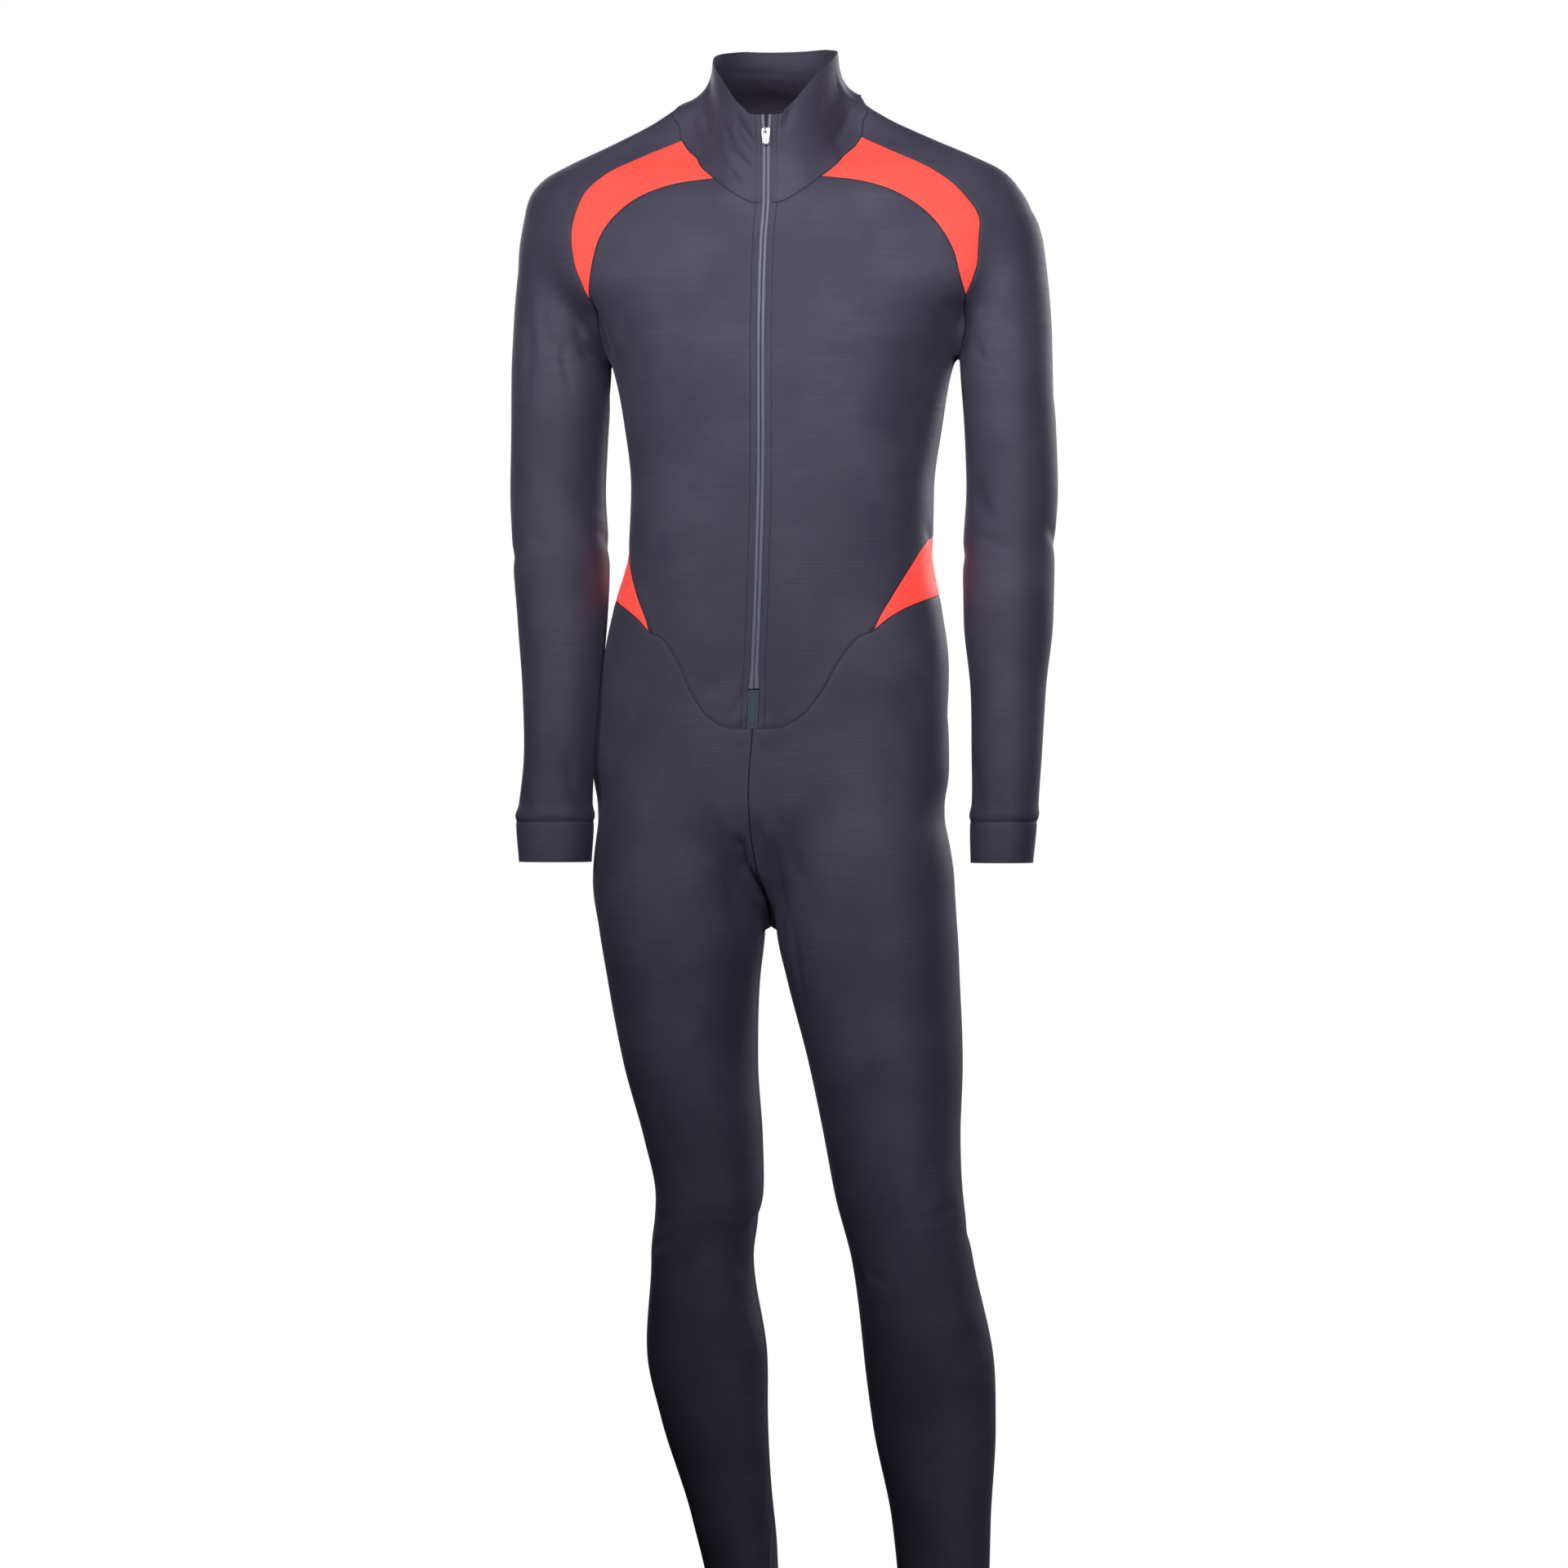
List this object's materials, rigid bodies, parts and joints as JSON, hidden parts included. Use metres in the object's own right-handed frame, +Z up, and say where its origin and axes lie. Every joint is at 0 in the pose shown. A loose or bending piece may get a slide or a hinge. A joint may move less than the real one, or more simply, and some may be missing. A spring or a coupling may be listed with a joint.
{
  "type": "speed skating suit",
  "caption": "Close-fitting full-length speed skating suit with raglan sleeves, a stand-up collar, a front zip, coral shoulder bands and waist wedges.",
  "frame": {"origin": "middle of the neck opening at the height where the shoulders hold the suit", "axes": "+Z up along the body, -Y is the suit's front, +X is the wearer's left"},
  "size_m": [0.5197, 0.2477, 1.5111],
  "materials": {
    "anthracite_knit": "matte stretch knit",
    "coral_knit": "matte stretch knit",
    "zip_coil": "woven tape with a nylon coil",
    "slider_metal": "satin"
  },
  "bodies": {
    "suit": {"back_panel": "anthracite_knit", "collar": "anthracite_knit", "cuff_left": "anthracite_knit", "cuff_right": "anthracite_knit", "front_left": "anthracite_knit", "front_right": "anthracite_knit", "leg_left": "anthracite_knit", "leg_right": "anthracite_knit", "shoulder_band_left": "coral_knit", "shoulder_band_right": "coral_knit", "sleeve_left": "anthracite_knit", "sleeve_right": "anthracite_knit", "waist_wedge_left": "coral_knit", "waist_wedge_right": "coral_knit", "zip_end": "zip_coil", "zip_left": "zip_coil", "zip_right": "zip_coil", "zip_slider": "slider_metal"},
    "pull_tab": {"pull_tab": "slider_metal"}
  },
  "joints": [
    {"name": "pull_tab_hinge", "type": "hinge", "parent": "suit", "child": "pull_tab", "pos_m": [0.0032, -0.11531, -0.0361], "axis": [-1, 0, 0], "range_deg": [0, 150]}
  ]
}
